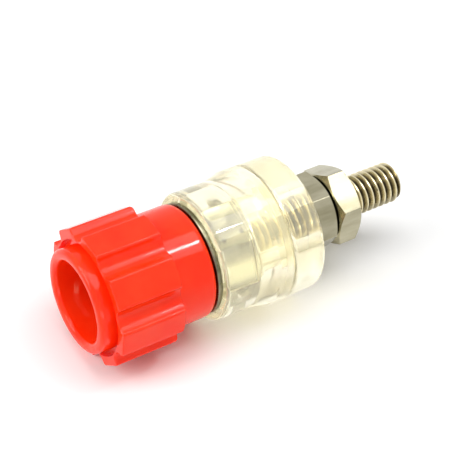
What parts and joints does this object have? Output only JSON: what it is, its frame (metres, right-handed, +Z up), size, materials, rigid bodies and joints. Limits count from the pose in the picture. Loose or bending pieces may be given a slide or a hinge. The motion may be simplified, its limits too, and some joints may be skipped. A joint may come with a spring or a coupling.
{
  "type": "binding post",
  "caption": "Insulated panel binding post: fluted clamping knob with a 4 mm plug socket, clear insulators, hexagon nuts and a threaded stud.",
  "frame": {"origin": "on the axis, in the plane where the two clear insulators meet, which is where the panel is clamped", "axes": "+Y along the axis from the knob to the threaded stud, +Z up as the part lies, +X to the right when looking along +Y"},
  "size_m": [0.0134, 0.0356, 0.0134],
  "materials": {
    "red_plastic": "glossy moulded",
    "clear_plastic": "clear, slightly yellow, glossy",
    "nickel": "nickel plated, bright"
  },
  "bodies": {
    "post_assembly": {"post": "nickel", "front_insulator": "clear_plastic", "rear_insulator": "clear_plastic", "panel_nut": "nickel"},
    "knob_thread": {"knob_insert": "nickel"},
    "knob": {"knob": "red_plastic"},
    "terminal_nut": {"terminal_nut": "nickel"}
  },
  "joints": [
    {"name": "knob_travel", "type": "slide", "parent": "post_assembly", "child": "knob_thread", "axis": [0, -1, 0], "range_m": [0, 0.00525]},
    {"name": "knob_turn", "type": "hinge", "parent": "knob_thread", "child": "knob", "pos_m": [0, -0.012, 0], "axis": [0, -1, 0], "range_deg": [0, 2520]},
    {"name": "terminal_nut_travel", "type": "slide", "parent": "post_assembly", "child": "terminal_nut", "axis": [0, 1, 0], "range_m": [0, 0.0056]}
  ],
  "couplings": [
    {"joint": "knob_turn", "follows": "knob_travel", "rad_per_m": 8377.6}
  ]
}
